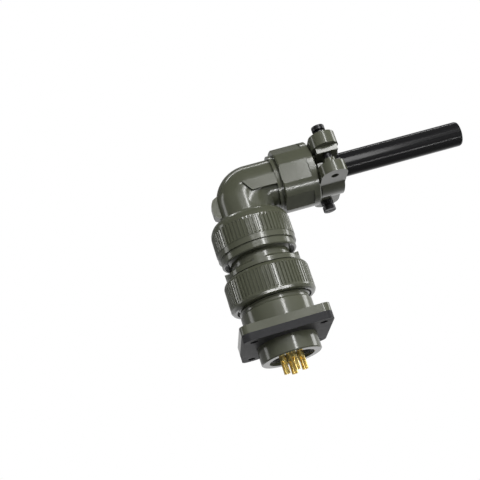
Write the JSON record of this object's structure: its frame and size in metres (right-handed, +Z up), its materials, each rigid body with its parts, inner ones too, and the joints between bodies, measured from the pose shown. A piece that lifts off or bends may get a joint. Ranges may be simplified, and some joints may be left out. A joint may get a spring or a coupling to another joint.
{
  "type": "circular aviation plug connector",
  "caption": "Right-angle circular power connector: plug with fluted coupling nut, bent backshell and saddle cable clamp, mated to a square-flange panel receptacle with solder cups.",
  "frame": {"origin": "centre of the gasket's rear face, which lies on the panel, on the plug's axis", "axes": "+Z along the plug's axis from the panel to the elbow, +X along the cable arm, +Y to the far side of the arm as seen with +X to the right and +Z up"},
  "size_m": [0.113, 0.0384, 0.0893],
  "materials": {
    "olive_paint": "olive grey-green semi-gloss paint on cast and turned aluminium",
    "gasket_rubber": "matte moulded rubber",
    "insert_plastic": "dark grey moulded insert",
    "contact_gold": "gold plating",
    "sleeve_rubber": "smooth black rubber with a soft sheen",
    "screw_black": "blackened steel",
    "ring_steel": "plain spring steel"
  },
  "bodies": {
    "receptacle": {"receptacle_shell": "olive_paint", "flange_gasket": "gasket_rubber", "pin_insert_front": "insert_plastic", "pin_insert_rear": "insert_plastic", "pin_insert_ring": "ring_steel", "pin_contact_1": "contact_gold", "pin_contact_2": "contact_gold", "pin_contact_3": "contact_gold", "pin_contact_4": "contact_gold"},
    "plug": {"plug_barrel": "olive_paint", "socket_insert_front": "insert_plastic", "socket_insert_rear": "insert_plastic", "socket_insert_ring": "ring_steel", "socket_contact_1": "contact_gold", "socket_contact_2": "contact_gold", "socket_contact_3": "contact_gold", "socket_contact_4": "contact_gold"},
    "coupling_nut": {"coupling_nut": "olive_paint", "coupling_nut_ring": "ring_steel"},
    "elbow_ring": {"elbow_nut_ring": "ring_steel"},
    "elbow_nut": {"elbow_nut": "olive_paint"},
    "elbow": {"elbow_body": "olive_paint"},
    "cable_sleeve": {"cable_sleeve": "sleeve_rubber", "gland_washer": "ring_steel"},
    "clamp": {"clamp_body": "olive_paint"},
    "clamp_saddle": {"clamp_saddle": "olive_paint"},
    "clamp_screw_1": {"clamp_screw_1": "screw_black", "plain_washer_1": "screw_black", "lock_washer_1": "screw_black"},
    "clamp_screw_2": {"clamp_screw_2": "screw_black", "plain_washer_2": "screw_black", "lock_washer_2": "screw_black"}
  },
  "joints": [
    {"name": "plug_slide", "type": "slide", "parent": "receptacle", "child": "plug", "axis": [0, 0, 1], "range_m": [0, 0.01976]},
    {"name": "coupling_nut_turn", "type": "hinge", "parent": "plug", "child": "coupling_nut", "pos_m": [0, 0, 0.0218], "axis": [0, 0, 1], "range_deg": [0, 5040]},
    {"name": "elbow_slide", "type": "slide", "parent": "plug", "child": "elbow_ring", "axis": [0, 0, 1], "range_m": [0, 0.01143]},
    {"name": "elbow_nut_turn", "type": "hinge", "parent": "elbow_ring", "child": "elbow_nut", "pos_m": [0, 0, 0.043], "axis": [0, 0, 1], "range_deg": [0, 3240]},
    {"name": "elbow_clocking", "type": "hinge", "parent": "elbow_ring", "child": "elbow", "pos_m": [0, 0, 0.046], "axis": [0, 0, 1], "range_deg": [-180, 180]},
    {"name": "sleeve_slide", "type": "slide", "parent": "elbow", "child": "cable_sleeve", "axis": [1, 0, 0], "range_m": [0, 0.01143]},
    {"name": "clamp_turn", "type": "hinge", "parent": "cable_sleeve", "child": "clamp", "pos_m": [0.024, 0, 0.064], "axis": [1, 0, 0], "range_deg": [0, 3240]},
    {"name": "saddle_slide", "type": "slide", "parent": "clamp", "child": "clamp_saddle", "axis": [0, 0, -1], "range_m": [0, 0.003]},
    {"name": "screw_1_turn", "type": "hinge", "parent": "clamp", "child": "clamp_screw_1", "pos_m": [0.0365, -0.0138, 0.064], "axis": [0, 0, 1], "range_deg": [0, 2161]},
    {"name": "screw_2_turn", "type": "hinge", "parent": "clamp_saddle", "child": "clamp_screw_2", "pos_m": [0.0365, 0.0138, 0.064], "axis": [0, 0, -1], "range_deg": [0, 2161]}
  ],
  "couplings": [
    {"joint": "plug_slide", "follows": "coupling_nut_turn", "m_per_rad": 0.00022459},
    {"joint": "elbow_slide", "follows": "elbow_nut_turn", "m_per_rad": 0.00020213},
    {"joint": "sleeve_slide", "follows": "clamp_turn", "m_per_rad": 0.00020213},
    {"joint": "screw_1_turn", "follows": "saddle_slide", "rad_per_m": 12566},
    {"joint": "screw_2_turn", "follows": "saddle_slide", "rad_per_m": 12566}
  ]
}
